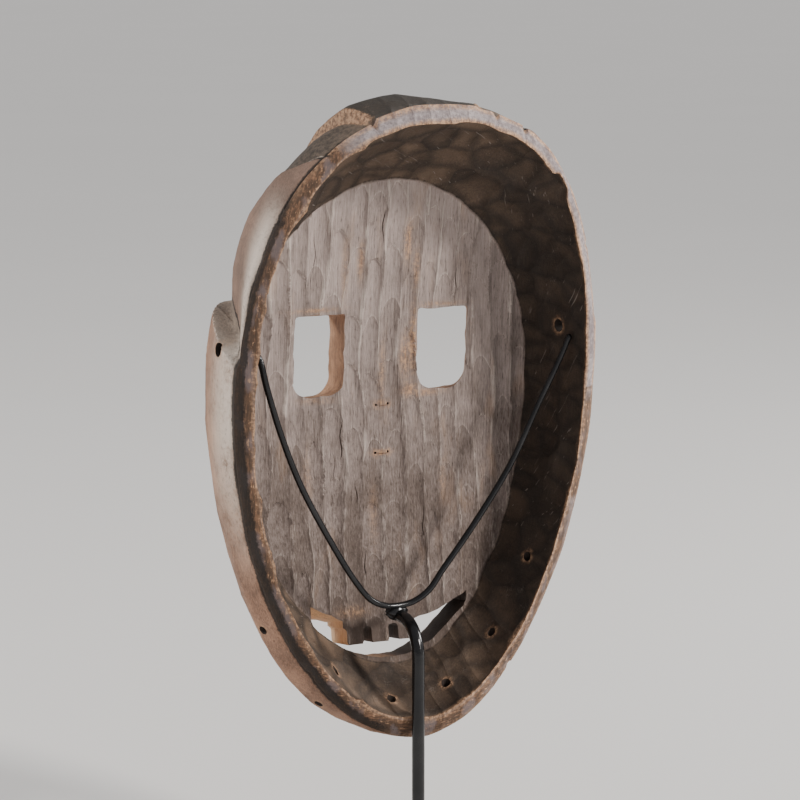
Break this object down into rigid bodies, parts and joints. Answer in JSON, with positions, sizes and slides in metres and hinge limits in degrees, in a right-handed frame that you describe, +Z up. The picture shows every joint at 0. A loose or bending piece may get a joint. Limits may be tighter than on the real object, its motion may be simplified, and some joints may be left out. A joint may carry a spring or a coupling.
{
  "type": "carved wooden face mask on a stand",
  "caption": "Hollow carved wooden face mask with eye and toothed mouth openings, held from behind by a bent wire cradle on a steel upright and foot plate.",
  "frame": {"origin": "middle of the foot plate's underside", "axes": "+Z up; the mask's face looks along -Y and its hollow back along +Y; +X is the wearer's left"},
  "size_m": [0.1906, 0.1214, 0.3896],
  "materials": {
    "carved_wood": "old dry grey-brown wood with gouge marks, dark patina outside and worn tan edges",
    "black_steel": "satin black"
  },
  "bodies": {
    "root": {"mask": "carved_wood", "cradle_prongs": "black_steel", "stand_stem": "black_steel", "stand_foot": "black_steel"}
  },
  "joints": []
}
